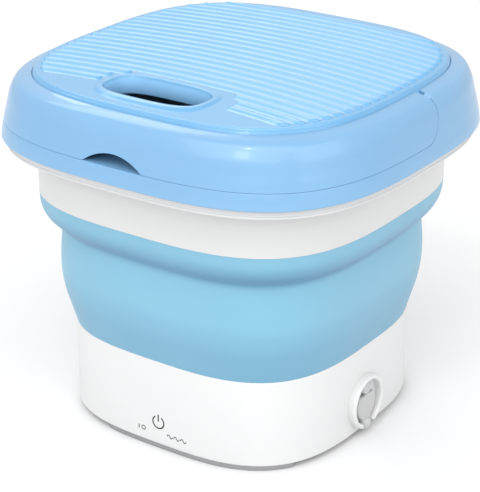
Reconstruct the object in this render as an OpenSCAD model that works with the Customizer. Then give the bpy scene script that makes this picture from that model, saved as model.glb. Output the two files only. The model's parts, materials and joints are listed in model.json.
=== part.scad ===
// Portable mini washer: a white motor base, a silicone bellows tub wall that folds down,
// a white collar, a blue rim with a swing-up carrying handle, and a lift-out washboard lid.
// Millimetres, +Z up, front face towards -Y, drain on the +X side, z = 0 under the feet.

/* [Outline] */
// Exponent of the rounded-square outline: 2 is a circle, more is squarer
squareness = 3.15; // [2:0.05:6]
// Half width of the rim at its lower edge, the widest part
rim_half = 141; // [120:1:165]
// Half width of the white collar wall
collar_half = 121; // [105:1:135]
// Half width of the white base
base_half = 102.3; // [90:0.1:115]

/* [Heights] */
// Lower edge of the base shell, on top of the feet
base_low = 3.3; // [2:0.1:8]
// Upper edge of the base shell
base_top = 65.8; // [55:0.1:80]
// Top of the inner tub's floor
floor_top = 36; // [34:1:44]
// Lower edge of the collar wall
collar_low = 162; // [130:1:180]
// Top of the collar's flange, which the rim stands on
flange_top = 201.2; // [180:0.1:215]
// Seam between the rim band and the handle
seam_z = 212.5; // [205:0.5:220]
// Upper edge of the rim shoulder around the lid
shoulder_top = 241.9; // [235:0.1:250]
// Flat border of the lid
border_z = 245; // [238:0.5:252]

/* [Walls] */
// Wall of the moulded plastic parts
wall = 2.5; // [1.5:0.1:4]
// Wall of the silicone bellows
silicone = 2; // [1:0.1:4]
// Gap between parts that move against each other
gap = 0.35; // [0.2:0.05:0.6]

/* [Lid] */
// Spacing of the washboard ribs
rib_pitch = 9.1; // [6:0.1:14]
// Number of ribs
rib_count = 22; // [10:1:30]
// Height of the ribs above the lid skin
rib_height = 1.3; // [0.5:0.1:2]
// How far the middle of each rib lies behind its ends
rib_bow = 13.6; // [0:0.1:25]
// Rise of the lid skin from its border to its middle
crown = 0.8; // [0:0.1:5]
// Half length of the grip slot
slot_half_x = 36.5; // [25:0.5:45]
// Half width of the grip slot
slot_half_y = 17.3; // [12:0.1:22]

/* [Handle] */
// Y of the handle pivot
pivot_y = 1.5; // [-10:0.5:10]
// Z of the handle pivot
pivot_z = 229.5; // [222:0.5:234]
// Radius of the handle's rounded ends around the pivot
lobe_r = 17; // [12:0.5:22]
// Radius of the pivot pins
pin_r = 4; // [2.5:0.5:6]
// Radius of the arc that bounds the finger notch
notch_r = 36.3; // [30:0.1:60]
// Height of the finger notch above the seam
notch_rise = 8; // [5:0.5:12]

/* [Drain] */
// Y of the drain's axis
drain_y = -5; // [-20:1:20]
// Z of the drain's axis
drain_z = 25; // [22:0.5:26]
// Outer radius of the drain bezel
bezel_r = 19.2; // [18:0.1:21]
// Radius of the recess inside the bezel
bezel_bore = 15.7; // [13:0.1:17]

/* [Feet] */
// Angle from +X at which a foot rail starts
rail_start = -113; // [-135:1:-90]
// Angle from +X at which a foot rail ends
rail_end = -39; // [-60:1:-20]
// Half width of the outline along the outer side of the rails
rail_half = 100.2; // [90:0.1:101]
// Width of a rail
rail_w = 5.9; // [4:0.1:10]

/* [Drive] */
// Radius of the pulsator disc
pulsator_r = 50; // [35:1:70]
// Radius of the pulsator shaft
shaft_r = 3; // [2:0.5:5]
// X of the motor's axis
motor_x = -58; // [-66:1:-54]
// Radius of the motor can
motor_r = 18; // [14:0.5:20]
// Pitch radius of the driven pulley
driven_pitch = 28; // [20:1:32]
// Pitch radius of the motor pulley
driver_pitch = 7; // [6:0.5:10]

/* [Hidden] */
$fn = 48;
outline_steps = 72;
oval_power = 3.2;
cut = 1;
far = 150;

base_in = base_half - wall;
cover_top = base_low + 2.5;
ledge_top = base_top - 4;
basin_half = 97.5;
basin_in = basin_half - 2;
floor_low = floor_top - 2;

post_xy = 70;
post_r = 4;
pilot = 1.55;
small_pilot = 1.05;

board_y = -92;
board_t = 1.6;
board_z = 19;
board_post_x = 24;
jack_x = 20;
jack_z = 18;
jack_r = 4;
uv_y = 78;
uv_r = 5.9;

hub_r = 11;
hub_low = 22;
bush_r = 6;
seal_r = 8;
seal_low = floor_low - 3;
run = shaft_r + 0.05;
disc_low = floor_top + 1;
disc_top = disc_low + 2.5;
shaft_top = disc_low + 6;
hub_top = shaft_top + 3;
clip_z = 20.4;

belt = 2.5;
pulley_low = 8.5;
pulley_high = 14.5;
belt_z = (pulley_low + pulley_high) / 2;
bracket_low = 15;
bracket_top = 17;
bracket_dx = 18;
bracket_dy = 22;
motor_shaft_r = 1.6;
motor_screw_y = 13.5;

elbow_r = 8;
drain_bore = 6;
spout_x = 84;
bezel_back = base_half - 1.5;
bezel_floor = bezel_back + 1.1;
bezel_front = base_half + 5;
hinge_x = 105.2;
hinge_z = 30.2;
flap_z = 22.9;
flap_r = 11.3;
neck_r = 0.8;

lip_half = 138;
flange_low = flange_top - 2.2;
band_low = flange_top + 0.3;
band_bend = band_low + 5.5;
shelf_z = seam_z - 0.3;
upstand_out = 118.9;
upstand_in = upstand_out - wall;
upstand_top = 238.6;
rim_post_half = 128;
rim_screw_count = 8;

lid_half = 121.8;
lid_gap_half = lid_half + 0.6;
border_half = 120.2;
lid_low = upstand_top + 0.4;
rib_half = 117;
first_rib_y = -96.9;
slot_x = -3.3;
slot_y = -88.3;
slot_depth = 12.2;

// Shoulder of the rim and handle, outside then inside, as [half width, z]
shoulder_out = [
    [139.2, seam_z], [138.2, 217.5], [137, 222.5], [135.9, 227.7], [134.6, 231.5],
    [132.6, 235], [129.8, 238.2], [126.4, 240.6], [lid_gap_half, shoulder_top]
];
shoulder_in = [
    [lid_gap_half, 239.3], [125.2, 238.3], [128, 236.2], [130.4, 233.4], [132.1, 230.2],
    [133.3, 226.8], [134.5, 221.8], [135.7, 217], [136.6, seam_z]
];

// Outer side of the bellows from the base up to the collar
bellows_out = [
    [101.8, base_top], [103.7, 72.7], [105.8, 80.7], [107.9, 89], [109.3, 98], [109.9, 105],
    [109.7, 117], [108.8, 128], [108.4, 134.4], [109.8, 138.4], [114.2, 142.6], [118, 147.2],
    [120.3, 153.4], [collar_half, collar_low - 0.3]
];

// ---- outline helpers ----

// Distance from the axis to a unit superellipse of power n at angle t
function reach(t, n) = pow(pow(abs(cos(t)), n) + pow(abs(sin(t)), n), -1 / n);

// Closed ring of points with the given half sizes
function oval(half_x, half_y, n = squareness, steps = outline_steps) = [
    for (i = [0:steps - 1]) let (t = 360 * i / steps)
        reach(t, n) * [half_x * cos(t), half_y * sin(t)]
];

// The superellipse size of the outline through a point
function size_at(x, y) =
    pow(pow(abs(x), squareness) + pow(abs(y), squareness), 1 / squareness);

function reversed(list) = [for (i = [len(list) - 1:-1:0]) list[i]];

module slab(half, low, high) {
    translate([0, 0, low]) linear_extrude(high - low) polygon(oval(half, half));
}

module tube(outer, inner, low, high) {
    translate([0, 0, low]) linear_extrude(high - low) difference() {
        polygon(oval(outer, outer));
        polygon(oval(inner, inner));
    }
}

module oval_slab(half_x, half_y, low, high) {
    translate([slot_x, slot_y, low]) linear_extrude(high - low)
        polygon(oval(half_x, half_y, oval_power, 48));
}

// A closed [half width, z] profile swept once round the outline
module sweep(profile) {
    m = len(profile);
    ring = oval(1, 1);
    polyhedron(
        points = [for (u = ring, p = profile) [u.x * p[0], u.y * p[0], p[1]]],
        faces = [
            for (i = [0:outline_steps - 1], j = [0:m - 1])
                let (a = i * m, b = ((i + 1) % outline_steps) * m, k = (j + 1) % m)
                    [a + j, a + k, b + k, b + j]
        ]
    );
}

// Outlines stacked from the bottom up, closed by a flat face at each end
module stack(levels) {
    n = outline_steps;
    ring = oval(1, 1);
    last = (len(levels) - 1) * n;
    polyhedron(
        points = [for (p = levels, u = ring) [u.x * p[0], u.y * p[0], p[1]]],
        faces = concat(
            [[for (i = [0:n - 1]) i]],
            [[for (i = [n - 1:-1:0]) last + i]],
            [for (k = [0:len(levels) - 2], i = [0:n - 1])
                let (a = k * n, b = a + n, j = (i + 1) % n) [a + i, b + i, b + j, a + j]]
        )
    );
}

// Cylinder along X, centred on (y, z)
module rod_x(r, x1, x2, y, z) {
    translate([x1, y, z]) rotate([0, 90, 0]) cylinder(r = r, h = x2 - x1);
}

// Cylinder along Y, centred on (x, z)
module rod_y(r, y1, y2, x, z) {
    translate([x, y2, z]) rotate([90, 0, 0]) cylinder(r = r, h = y2 - y1);
}

// Cylinder along Z, centred on (x, y)
module rod_z(r, x, y, low, high) {
    translate([x, y, low]) cylinder(r = r, h = high - low);
}

// Screw driven in from below: head from low, shank up to high
module screw_up(low, high, head_r, head_h, shank_r) {
    difference() {
        rod_z(head_r, 0, 0, low, low + head_h);
        for (turn = [0, 90]) rotate(turn)
            translate([-head_r * 0.6, -0.4, low - cut]) cube([head_r * 1.2, 0.8, cut + head_h / 2]);
    }
    rod_z(shank_r, 0, 0, low + head_h, high);
}

module corners(dx, dy) {
    for (sx = [-1, 1], sy = [-1, 1]) translate([sx * dx, sy * dy, 0]) children();
}

module both_sides() {
    children();
    mirror([1, 0, 0]) children();
}

// ---- base ----

module base_shell() {
    color("white") difference() {
        union() {
            tube(base_half, base_in, base_low, base_top);
            tube(base_in + 0.5, basin_half + 0.3, ledge_top - 2, ledge_top);
            both_sides() rod_y(3, -base_in - 0.5, board_y, board_post_x, board_z);
        }
        rod_x(bezel_r + 0.05, bezel_back, bezel_front, drain_y, drain_z);
        rod_x(elbow_r + 0.2, base_in - 5, bezel_front, drain_y, drain_z);
        rod_y(jack_r + 0.1, base_in - 5, base_half + 5, jack_x, jack_z);
        both_sides() rod_y(small_pilot, board_y - 5, board_y + cut, board_post_x, board_z);
    }
}

module bottom_cover() {
    color("gainsboro") difference() {
        slab(base_in - 0.3, base_low, cover_top);
        corners(post_xy, post_xy) {
            rod_z(1.7, 0, 0, base_low - cut, cover_top + cut);
            rod_z(3.6, 0, 0, base_low - cut, base_low + 1.4);
        }
        for (k = [-2:2]) translate([motor_x - 12, k * 6 - 1.25, base_low - cut])
            cube([24, 2.5, wall + 2 * cut]);
    }
}

// One foot rail, from left of centre round the front right corner
module foot_rail() {
    middle = rail_half - rail_w / 2;
    half_turn = (rail_end - rail_start) / 2;
    sector = [for (k = [0:2]) let (t = rail_start + k * half_turn) 2 * rail_half * [cos(t), sin(t)]];
    intersection() {
        tube(rail_half, rail_half - rail_w, 0, base_low);
        linear_extrude(base_low) polygon(concat([[0, 0]], sector));
    }
    for (t = [rail_start, rail_end]) let (p = middle * reach(t, squareness) * [cos(t), sin(t)])
        rod_z(rail_w / 2, p.x, p.y, 0, base_low);
}

module foot_rails() {
    color("dimgray") for (turn = [0, 180]) rotate(turn) foot_rail();
}

module cover_screws() {
    color("silver") corners(post_xy, post_xy) screw_up(base_low + 0.2, 14, 3.3, 1.2, 1.5);
}

module tub_basin() {
    color("white") difference() {
        union() {
            tube(basin_half, basin_in, floor_low, ledge_top + 2);
            tube(base_in - 0.2, basin_in + 1, ledge_top, ledge_top + 2);
            slab(basin_half, floor_low, floor_top);
            rod_z(hub_r, 0, 0, hub_low, floor_top);
            corners(post_xy, post_xy) rod_z(post_r, 0, 0, cover_top, floor_low + cut);
            translate([motor_x, 0, 0]) corners(bracket_dx, bracket_dy)
                rod_z(post_r, 0, 0, bracket_top, floor_low + cut);
            rod_z(drain_bore, spout_x, drain_y, floor_low - 5, floor_low + cut);
        }
        rod_z(bush_r, 0, 0, hub_low - cut, seal_low + cut);
        rod_z(seal_r, 0, 0, seal_low, floor_top + cut);
        corners(post_xy, post_xy) rod_z(pilot, 0, 0, cover_top - cut, cover_top + 10);
        translate([motor_x, 0, 0]) corners(bracket_dx, bracket_dy)
            rod_z(small_pilot, 0, 0, bracket_top - cut, bracket_top + 7);
        rod_z(drain_bore - 1.5, spout_x, drain_y, floor_low - 6, floor_top + cut);
        rod_z(uv_r + 0.1, 0, uv_y, floor_low - cut, floor_top + cut);
    }
}

module bellows() {
    inner = [for (p = reversed(bellows_out)) [p[0] - silicone, p[1]]];
    color("lightskyblue") sweep(concat(bellows_out, inner));
}

// ---- drive ----

module ring_z(outer, inner, low, high) {
    difference() {
        rod_z(outer, 0, 0, low, high);
        rod_z(inner, 0, 0, low - cut, high + cut);
    }
}

module bearing_bushes() {
    color("peru") {
        ring_z(bush_r, run, hub_low + 0.2, hub_low + 4.2);
        ring_z(bush_r, run, hub_low + 4.8, seal_low - 0.2);
    }
}

module shaft_seal() {
    low = seal_low + 0.2;
    color("dimgray") rotate_extrude() polygon([
        [run, low], [seal_r, low], [seal_r, low + 4.5], [seal_r - 1.6, low + 4.5],
        [seal_r - 2.4, low + 1.8], [run + 0.6, low + 4], [run, low + 3.2]
    ]);
}

// Closed loop round two circles, the second one at [distance, 0]
function belt_loop(r1, r2, distance) = let (b = acos((r1 - r2) / distance)) concat(
    [for (k = [0:30]) let (a = b + (360 - 2 * b) * k / 30) r1 * [cos(a), sin(a)]],
    [for (k = [0:18]) let (a = -b + 2 * b * k / 18) [distance, 0] + r2 * [cos(a), sin(a)]]
);

module drive_belt() {
    inner = 0.15 - belt / 2;
    outer = inner + belt;
    color("black") rotate(180) translate([0, 0, belt_z - belt / 2]) linear_extrude(belt)
        difference() {
            polygon(belt_loop(driven_pitch + outer, driver_pitch + outer, -motor_x));
            polygon(belt_loop(driven_pitch + inner, driver_pitch + inner, -motor_x));
        }
}

// Half section of a grooved rim from radius inner out to the flanges
module grooved_rim(inner, pitch) {
    groove = pitch - belt / 2;
    half = (pulley_high - pulley_low) / 2;
    difference() {
        translate([inner, pulley_low]) square([groove + 3.2 - inner, 2 * half]);
        translate([groove, belt_z - belt / 2 - 0.3]) square([10, belt + 0.6]);
    }
}

module driven_pulley() {
    color("ivory") difference() {
        rotate_extrude() union() {
            grooved_rim(driven_pitch - 7, driven_pitch);
            translate([shaft_r, pulley_low]) square([5, pulley_high - pulley_low]);
            translate([shaft_r + 4, belt_z - 1]) square([driven_pitch - shaft_r - 10, 2]);
        }
        for (k = [0:4]) rotate(72 * k) rod_z(4.5, 14.5, 0, pulley_low, pulley_high);
    }
}

module motor_pulley() {
    color("ivory") translate([motor_x, 0, 0]) rotate_extrude()
        grooved_rim(motor_shaft_r, driver_pitch);
}

module motor_shaft() {
    color("silver") rod_z(motor_shaft_r, motor_x, 0, pulley_low - 0.7, bracket_top + 6);
}

module motor_can() {
    color("silver") translate([motor_x, 0, 0]) difference() {
        union() {
            rod_z(motor_r, 0, 0, bracket_top, floor_low - 0.6);
            rod_z(4.5, 0, 0, bracket_low + 0.2, bracket_top);
        }
        rod_z(motor_shaft_r + 0.05, 0, 0, bracket_low, bracket_top + 7);
        for (s = [-1, 1]) rod_z(1.3, 0, s * motor_screw_y, bracket_low, bracket_top + 6);
    }
}

module motor_bracket() {
    size = [2 * bracket_dx + 12, 2 * bracket_dy + 12, bracket_top - bracket_low];
    color("silver") translate([motor_x, 0, 0]) difference() {
        translate([-size.x / 2, -size.y / 2, bracket_low]) cube(size);
        rod_z(5.2, 0, 0, bracket_low - cut, bracket_top + cut);
        for (s = [-1, 1]) rod_z(1.5, 0, s * motor_screw_y, bracket_low - cut, bracket_top + cut);
        corners(bracket_dx, bracket_dy) rod_z(1.6, 0, 0, bracket_low - cut, bracket_top + cut);
    }
}

module bracket_screws() {
    color("silver") translate([motor_x, 0, 0]) corners(bracket_dx, bracket_dy)
        screw_up(bracket_low - 1.8, bracket_top + 6, 2.8, 1.8, 1);
}

module motor_screws() {
    color("silver") for (s = [-1, 1]) translate([motor_x, s * motor_screw_y, 0])
        screw_up(bracket_low - 1.6, bracket_top + 5, 2.3, 1.6, 1.25);
}

module drive_shaft() {
    color("silver") difference() {
        rod_z(shaft_r, 0, 0, pulley_low - 0.9, shaft_top);
        difference() {
            rod_z(shaft_r + cut, 0, 0, clip_z - 0.1, clip_z + 1.1);
            rod_z(shaft_r - 0.45, 0, 0, clip_z - cut, clip_z + 2);
        }
        rod_z(pilot, 0, 0, shaft_top - 7.5, shaft_top + cut);
    }
}

module circlip() {
    color("silver") difference() {
        ring_z(shaft_r + 2.2, shaft_r - 0.4, clip_z, clip_z + 1);
        translate([0, -1.5, clip_z - cut]) cube([10, 3, 3]);
    }
}

module pulsator() {
    vane = [pulsator_r - 14, 4, 6];
    color("white") difference() {
        union() {
            rod_z(pulsator_r, 0, 0, disc_low, disc_top);
            rod_z(9, 0, 0, disc_low, hub_top);
            for (k = [0:5]) rotate(60 * k) {
                translate([8, -vane.y / 2, disc_top - 0.5]) cube(vane);
                rod_z(vane.y / 2, 8 + vane.x, 0, disc_top - 0.5, disc_top - 0.5 + vane.z);
            }
        }
        rod_z(shaft_r, 0, 0, disc_low - cut, shaft_top);
        rod_z(1.7, 0, 0, disc_low, hub_top + cut);
        for (k = [0:5]) rotate(60 * k + 30) for (r = [22, 34]) rod_z(2, r, 0, disc_low - cut, hub_top);
    }
}

module pulsator_screw() {
    color("silver") {
        difference() {
            rod_z(3.5, 0, 0, hub_top, hub_top + 2.2);
            for (turn = [0, 90]) rotate(turn)
                translate([-2.2, -0.5, hub_top + 1.1]) cube([4.4, 1, 3]);
        }
        rod_z(1.5, 0, 0, shaft_top - 6, hub_top);
    }
}

// ---- electrics ----

module control_board() {
    back = board_y + board_t;
    color("seagreen") difference() {
        union() {
            translate([-30, board_y, 8]) cube([60, board_t, 22]);
            translate([-16, back, 12]) cube([14, 9, 11]);
            translate([2, back, 10]) cube([16, 5, 6]);
            translate([5, back, 20]) cube([7, 1.8, 7]);
            rod_y(4, back, back + 10, 20, 24.5);
        }
        both_sides() rod_y(1.5, board_y - cut, back + cut, board_post_x, board_z);
    }
}

module board_screws() {
    color("silver") both_sides() {
        rod_y(1, board_y - 4, board_y + board_t, board_post_x, board_z);
        rod_y(2.2, board_y + board_t, board_y + board_t + 1.5, board_post_x, board_z);
    }
}

module touch_pad() {
    color("goldenrod") translate([-11, 0.4 - base_in, 13]) cube([28, 1.2, 16]);
}

module dc_jack() {
    color("black") {
        difference() {
            union() {
                translate([jack_x - 6, base_in - 13.8, jack_z - 6]) cube([12, 13.2, 12]);
                rod_y(jack_r, base_in - 1, base_half + 0.3, jack_x, jack_z);
            }
            rod_y(2.8, base_in - 8, base_half + cut, jack_x, jack_z);
        }
        rod_y(1, base_in - 8.5, base_half - 1, jack_x, jack_z);
    }
}

module uv_lens() {
    color("lavender") {
        rod_z(uv_r, 0, uv_y, floor_low - 0.5, floor_top);
        rod_z(uv_r + 2, 0, uv_y, floor_low - 1.5, floor_low);
    }
}

module uv_board() {
    high = floor_low - 3;
    color("seagreen") {
        translate([-10, uv_y - 10, high - board_t]) cube([20, 20, board_t]);
        translate([-1.75, uv_y - 1.75, high]) cube([3.5, 3.5, 1.2]);
    }
}

// ---- drain ----

module drain_elbow() {
    color("gainsboro") difference() {
        union() {
            rod_x(elbow_r, spout_x - 9, bezel_back, drain_y, drain_z);
            rod_x(elbow_r + 3, basin_half + 0.2, base_in - 0.3, drain_y, drain_z);
        }
        rod_x(drain_bore, spout_x - 7, bezel_back + cut, drain_y, drain_z);
        rod_z(drain_bore + 0.1, spout_x, drain_y, drain_z, floor_low);
    }
}

module drain_bezel() {
    color("white") difference() {
        rod_x(bezel_r, bezel_back, bezel_front, drain_y, drain_z);
        rod_x(bezel_bore, bezel_floor, bezel_front + cut, drain_y, drain_z);
        rod_x(drain_bore + 0.5, bezel_back - cut, bezel_front, drain_y, drain_z);
        translate([bezel_floor, drain_y - 5.5, 0]) cube([10, 11, drain_z - 10]);
    }
}

module drain_anchor() {
    color("gainsboro") difference() {
        rod_x(5, bezel_floor, hinge_x + 0.2, drain_y, drain_z + 10.5);
        rod_y(neck_r + 0.05, drain_y - 6, drain_y + 6, hinge_x, hinge_z);
    }
}

module drain_flap() {
    back = bezel_floor + 0.4;
    color("gainsboro") {
        intersection() {
            rod_x(flap_r, back, hinge_x, drain_y, flap_z);
            translate([back, drain_y - 20, 0]) cube([10, 40, hinge_z - 0.3]);
        }
        rod_x(drain_bore - 0.7, bezel_back - 0.6, back + 0.2, drain_y, drain_z);
        rod_y(neck_r, drain_y - 2.2, drain_y + 2.2, hinge_x, hinge_z);
        translate([back + 0.7, drain_y - 4, 7.6]) cube([hinge_x - back - 0.7, 8, 8]);
        rod_x(4, back + 0.7, hinge_x, drain_y, 7.6);
        rod_x(2.5, hinge_x - 0.2, hinge_x + 2.6, drain_y, 7.6);
    }
}

// ---- collar and rim ----

// Places its children where the rim screws stand
module rim_screw_places() {
    for (k = [0:rim_screw_count - 1])
        let (t = 22.5 + 360 * k / rim_screw_count,
             p = rim_post_half * reach(t, squareness) * [cos(t), sin(t)])
            translate([p.x, p.y, 0]) children();
}

module collar() {
    color("white") difference() {
        union() {
            tube(collar_half, collar_half - wall, collar_low, flange_top);
            tube(lip_half, collar_half - wall, flange_low, flange_top);
            tube(lip_half, lip_half - wall, flange_low - 3.5, flange_top);
        }
        rim_screw_places() rod_z(1.8, 0, 0, flange_low - cut, flange_top + cut);
    }
}

// Cut-away in front of the rear shoulder that the handle lies and turns in
module handle_space() {
    translate([-far, -far, seam_z - 4]) cube([2 * far, far + pivot_y, 60]);
    rod_x(lobe_r + gap, -far, far, pivot_y, pivot_z);
    translate([-far, 0, pivot_z + 9]) cube([2 * far, pivot_y + lobe_r, 20]);
}

module rear_shoulder() {
    web = [
        [lid_gap_half, upstand_top], [upstand_out - 0.5, upstand_top],
        [upstand_out - 0.5, upstand_top - wall], [lid_gap_half + 2, upstand_top - wall]
    ];
    sunk = [[139.1, seam_z - 2], [137.1, seam_z - 2]];
    outer = concat([sunk[0]], shoulder_out);
    inner = concat([for (p = shoulder_in) if (p[1] < upstand_top - wall && p[1] > seam_z) p], [sunk[1]]);
    difference() {
        sweep(concat(outer, web, inner));
        handle_space();
    }
}

module rim_frame() {
    band_in = lip_half + 0.4;
    color("skyblue") difference() {
        union() {
            sweep([
                [rim_half, band_low], [140.2, band_bend], [139.3, shelf_z], [upstand_out, shelf_z],
                [upstand_out, upstand_top], [upstand_in, upstand_top], [upstand_in, flange_top],
                [upstand_out, flange_top], [upstand_out, shelf_z - wall], [band_in - 1.4, shelf_z - wall],
                [band_in, band_bend], [band_in, band_low]
            ]);
            rear_shoulder();
            rim_screw_places() rod_z(post_r, 0, 0, flange_top, shelf_z - 1);
            both_sides() rod_x(pin_r + 4, upstand_in - 4.4, upstand_in + 1, pivot_y, pivot_z);
        }
        rim_screw_places() rod_z(pilot, 0, 0, flange_top - cut, shelf_z - 3);
        both_sides() rod_x(pin_r, upstand_in - 10, upstand_out + cut, pivot_y, pivot_z);
    }
}

module rim_screws() {
    color("silver") rim_screw_places() screw_up(flange_low - 2, shelf_z - 4, 3.2, 2, 1.5);
}

module pivot_pins() {
    inside = upstand_in - 4.4;
    color("silver") both_sides() {
        rod_x(pin_r, inside, 130.6, pivot_y, pivot_z);
        rod_x(pin_r + 2, inside - 2, inside, pivot_y, pivot_z);
    }
}

// ---- handle ----

module handle() {
    low = seam_z + 0.1;
    outer = concat([[139.2, low]], [for (k = [1:len(shoulder_out) - 1]) shoulder_out[k]]);
    inner = concat([for (k = [0:len(shoulder_in) - 2]) shoulder_in[k]], [[136.6, low]]);
    color("skyblue") difference() {
        union() {
            intersection() {
                sweep(concat(outer, inner));
                union() {
                    translate([-far, -far, seam_z - 10]) cube([2 * far, far + pivot_y, 60]);
                    rod_x(lobe_r, -far, far, pivot_y, pivot_z);
                }
            }
            both_sides() intersection() {
                rod_x(pin_r + 4.5, upstand_out + 2, 139, pivot_y, pivot_z);
                sweep(concat(outer, [[110, shoulder_top], [110, low]]));
            }
        }
        both_sides() rod_x(pin_r + 0.06, upstand_out, 131, pivot_y, pivot_z);
        rod_y(notch_r, -far, 20 - far, 0, seam_z + notch_rise - notch_r);
    }
}

// ---- lid ----

// Height of the lid skin above a point
function skin_z(x, y) = border_z + crown * (1 - pow(size_at(x, y) / 120, 2));

// Closed block whose top carries the bowed washboard ribs
module rib_field() {
    shape = [[-0.36, 0], [-0.2, 1], [0.2, 1], [0.36, 0]];
    cols = 14;
    reach_x = rib_half + 2;
    rows = [for (k = [0:rib_count - 1], s = shape) [first_rib_y + (k + s[0]) * rib_pitch, s[1]]];
    n = len(rows);
    top = n * (cols + 1);
    low = border_z - 1.2;
    points = [
        for (row = rows, c = [0:cols]) let (
            x = reach_x * (2 * c / cols - 1),
            y = row[0] + rib_bow * (1 - pow(x / 120, 2)),
            z = skin_z(x, y) + 0.12 + (rib_height - 0.12) * row[1]
        ) [x, y, max(z, low + 0.1)]
    ];
    floor_points = [for (p = points) [p.x, p.y, low]];
    w = cols + 1;
    polyhedron(
        points = concat(points, floor_points),
        faces = concat(
            [for (r = [0:n - 2], c = [0:cols - 1]) let (a = r * w + c) [a, a + w, a + w + 1]],
            [for (r = [0:n - 2], c = [0:cols - 1]) let (a = r * w + c) [a, a + w + 1, a + 1]],
            [for (r = [0:n - 2], c = [0:cols - 1]) let (a = top + r * w + c)
                [a, a + 1, a + w + 1, a + w]],
            [for (c = [0:cols - 1]) [c, c + 1, top + c + 1, top + c]],
            [for (c = [0:cols - 1]) let (a = (n - 1) * w + c) [a, top + a, top + a + 1, a + 1]],
            [for (r = [0:n - 2]) let (a = r * w) [a, top + a, top + a + w, a + w]],
            [for (r = [0:n - 2]) let (a = r * w + cols) [a, a + w, top + a + w, top + a]]
        )
    );
}

module lid_panel() {
    skin = [for (k = [0:5]) let (h = border_half * (0.99 - 0.165 * k)) [h, skin_z(h, 0)]];
    rim = 5.7;
    slot_low = border_z + 1.9 - slot_depth;
    color("skyblue") difference() {
        union() {
            difference() {
                stack(concat([[lid_half, lid_low], [lid_half, shoulder_top], [border_half, border_z]], skin));
                slab(upstand_in, lid_low - cut, border_z - 2.8);
            }
            intersection() {
                rib_field();
                slab(rib_half, lid_low, border_z + 5);
                difference() {
                    slab(rib_half + 5, lid_low, border_z + 5);
                    translate([-slot_x, 0, 0]) oval_slab(slot_half_x + 13, slot_half_y + 10.3, 200, 260);
                }
            }
            oval_slab(slot_half_x + rim, slot_half_y + rim + 2, border_z - 2, border_z + 1.2);
            oval_slab(slot_half_x + rim - 2, slot_half_y + rim - 1, border_z - 2, border_z + 2.1);
            oval_slab(slot_half_x + wall, slot_half_y + wall, slot_low, border_z);
            for (x = [-60, 0, 60]) translate([x - 1, -62, lid_low + 0.2]) cube([2, 162, 4]);
        }
        oval_slab(slot_half_x, slot_half_y, slot_low - cut, border_z + 5);
    }
}

base_shell();
bottom_cover();
foot_rails();
cover_screws();
tub_basin();
bellows();
bearing_bushes();
shaft_seal();
drive_belt();
motor_can();
motor_bracket();
bracket_screws();
motor_screws();
control_board();
board_screws();
touch_pad();
dc_jack();
uv_lens();
uv_board();
drain_elbow();
drain_bezel();
drain_anchor();
drain_flap();
pulsator();
pulsator_screw();
drive_shaft();
circlip();
driven_pulley();
motor_pulley();
motor_shaft();
collar();
rim_frame();
rim_screws();
pivot_pins();
handle();
lid_panel();
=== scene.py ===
"""Looks of a folding mini washer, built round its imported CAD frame.

Shapes are worked out in millimetres and stored in metres. Outlines are rounded squares
(superellipses); an outline's size is its half width, and a section is a list of [size, z].
"""
import json
import math

import bmesh
import bpy
import numpy as np
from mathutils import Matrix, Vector


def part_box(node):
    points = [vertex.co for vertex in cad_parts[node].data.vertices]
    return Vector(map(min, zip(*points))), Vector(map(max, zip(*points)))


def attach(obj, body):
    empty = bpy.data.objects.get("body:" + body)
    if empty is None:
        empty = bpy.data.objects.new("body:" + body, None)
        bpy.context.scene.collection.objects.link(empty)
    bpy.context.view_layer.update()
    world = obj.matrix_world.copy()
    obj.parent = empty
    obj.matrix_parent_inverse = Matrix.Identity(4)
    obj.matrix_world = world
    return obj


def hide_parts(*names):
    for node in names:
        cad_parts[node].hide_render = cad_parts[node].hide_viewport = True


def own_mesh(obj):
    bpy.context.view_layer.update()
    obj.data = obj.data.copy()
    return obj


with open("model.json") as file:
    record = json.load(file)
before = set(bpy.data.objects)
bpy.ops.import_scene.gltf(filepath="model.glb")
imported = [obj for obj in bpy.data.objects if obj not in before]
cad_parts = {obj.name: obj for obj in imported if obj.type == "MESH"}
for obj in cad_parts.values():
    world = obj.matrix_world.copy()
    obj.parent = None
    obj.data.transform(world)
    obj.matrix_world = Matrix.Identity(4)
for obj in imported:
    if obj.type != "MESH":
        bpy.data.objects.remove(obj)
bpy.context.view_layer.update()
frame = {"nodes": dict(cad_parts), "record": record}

# ---- sizes, from the frame ----

MM = 0.001
SQUARENESS = 3.15
WALL = 2.5
SILICONE = 2.0


def node_box(node):
    """Lowest and highest corner of a CAD node, in millimetres."""
    low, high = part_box(node)
    return np.array(low) / MM, np.array(high) / MM


_, rim_high = node_box("rim_frame")
base_low, base_high = node_box("base_shell")
collar_low, collar_high = node_box("collar")
_, bellows_high = node_box("bellows")
handle_low, handle_high = node_box("handle")
_, lid_high = node_box("lid_panel")
bezel_low, bezel_high = node_box("drain_bezel")
flap_low, flap_high = node_box("drain_flap")
_, rails_high = node_box("foot_rails")
pins_low, pins_high = node_box("pivot_pins")

# base: its wall starts a little above the CAD's, so that the foot rails show
BASE_HALF = base_high[0]
BASE_LOW = base_low[2] + 0.9
BASE_TOP = base_high[2]
DRAIN = np.array([(bezel_low[1] + bezel_high[1]) / 2, (bezel_low[2] + bezel_high[2]) / 2])
BEZEL_R = bezel_high[1] - DRAIN[0]

# bellows and collar
BELLOWS_HALF = bellows_high[0]
COLLAR_LOW = collar_low[2]
LIP_HALF = collar_high[0]
FLANGE_TOP = collar_high[2]

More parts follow.
